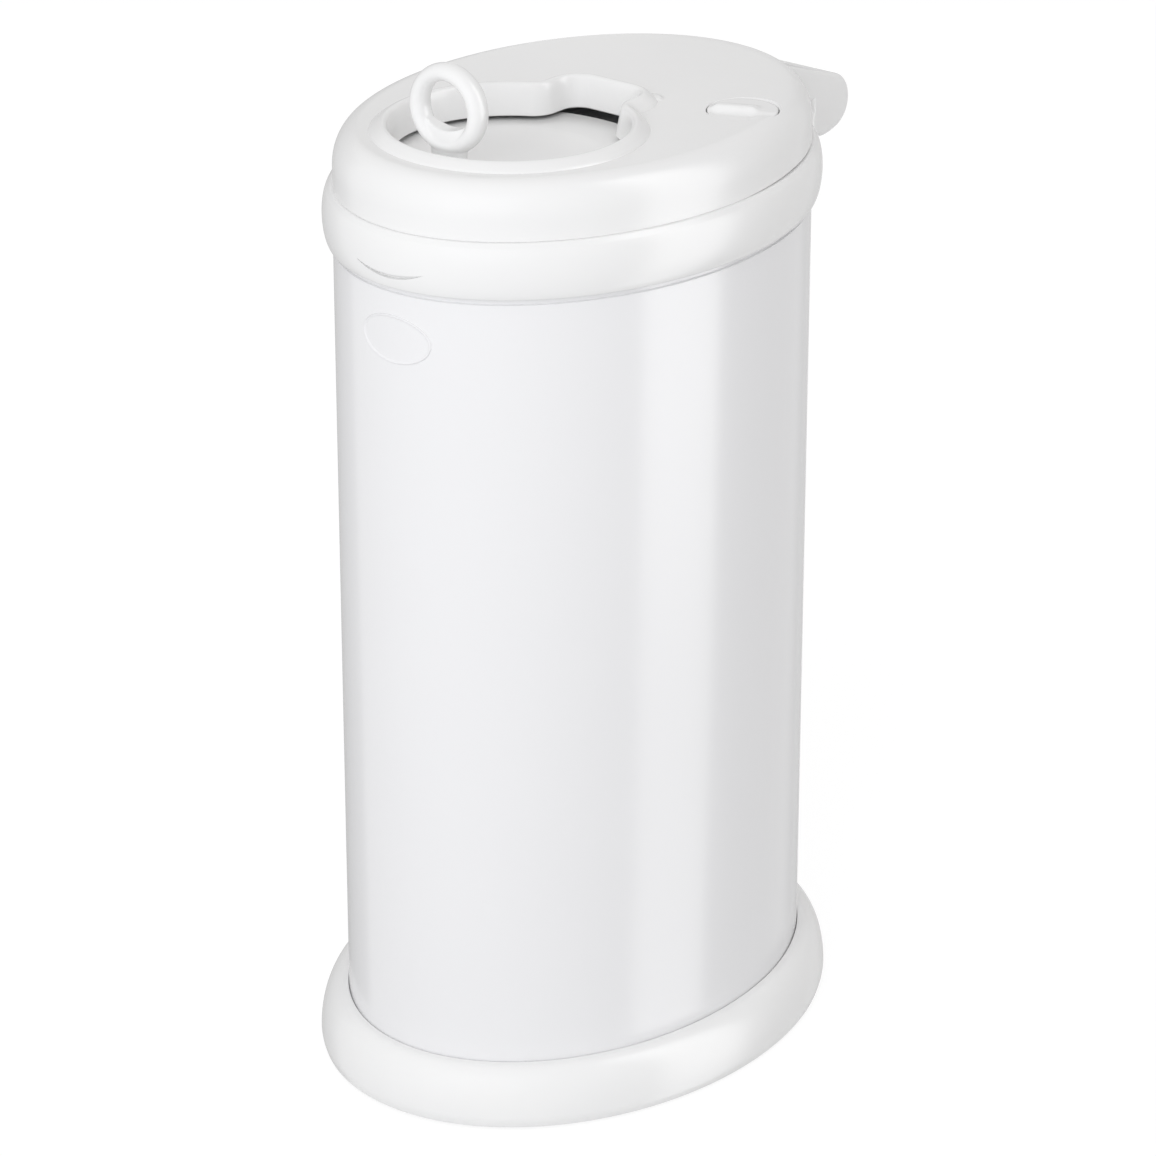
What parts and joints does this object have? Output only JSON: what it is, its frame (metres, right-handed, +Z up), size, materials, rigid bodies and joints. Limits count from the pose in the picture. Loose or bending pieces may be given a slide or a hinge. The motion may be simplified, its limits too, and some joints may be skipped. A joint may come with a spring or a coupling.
{
  "type": "nappy bin",
  "caption": "Free-standing oval steel nappy bin with a flared base, hinged lid, sliding door with a ring handle, lift-out bag ring and turning child lock.",
  "frame": {"origin": "on the floor, under the middle of the bin's overall box", "axes": "+Z up, -Y towards the front with the ring handle, +Y towards the lid's hinge, +X to the right seen from the front"},
  "size_m": [0.253, 0.351, 0.5781],
  "materials": {
    "white_steel": "white gloss powder coat",
    "white_plastic": "white moulded plastic, satin gloss",
    "grey_plastic": "pale grey moulded plastic, matt",
    "dark_rubber": "dark rubber, matt",
    "grey_rubber": "grey soft rubber, matt",
    "zinc_steel": "zinc plated steel"
  },
  "bodies": {
    "bin": {"steel_body": "white_steel", "base_skirt": "white_plastic", "base_pan": "grey_plastic", "foot_cup_front_left": "grey_plastic", "foot_cup_front_right": "grey_plastic", "foot_cup_rear_left": "grey_plastic", "foot_cup_rear_right": "grey_plastic", "foot_front_left": "dark_rubber", "foot_front_right": "dark_rubber", "foot_rear_left": "dark_rubber", "foot_rear_right": "dark_rubber", "collar": "white_plastic", "bag_ring": "grey_plastic", "hinge_pin": "zinc_steel", "base_screw_1": "zinc_steel", "base_screw_2": "zinc_steel", "base_screw_3": "zinc_steel", "base_screw_4": "zinc_steel", "collar_screw_1": "zinc_steel", "collar_screw_2": "zinc_steel", "collar_screw_3": "zinc_steel", "collar_screw_4": "zinc_steel"},
    "lid": {"lid_shell": "white_plastic", "lid_base": "grey_plastic", "lid_seal": "grey_rubber", "door_seal": "grey_rubber", "door_rail_left": "grey_plastic", "door_rail_right": "grey_plastic", "lid_screw_1": "zinc_steel", "lid_screw_2": "zinc_steel", "lid_screw_3": "zinc_steel", "lid_screw_4": "zinc_steel", "lid_screw_5": "zinc_steel", "lid_screw_6": "zinc_steel", "lock_stop_leaf": "zinc_steel"},
    "door": {"sliding_door": "white_plastic", "handle_ring": "white_plastic", "handle_screw_left": "zinc_steel", "handle_screw_right": "zinc_steel"},
    "lock": {"lock_dial": "white_plastic", "lock_lever": "grey_plastic", "lock_washer": "zinc_steel", "lock_screw": "zinc_steel"}
  },
  "joints": [
    {"name": "lid_hinge", "type": "hinge", "parent": "bin", "child": "lid", "pos_m": [0, 0.1595, 0.497], "axis": [-1, 0, 0], "range_deg": [0, 95]},
    {"name": "door_slide", "type": "slide", "parent": "lid", "child": "door", "axis": [0, 1, 0], "range_m": [0, 0.112]},
    {"name": "lock_turn", "type": "hinge", "parent": "lid", "child": "lock", "pos_m": [0.074, 0.0355, 0.53], "axis": [0, 0, -1], "range_deg": [0, 35]}
  ]
}
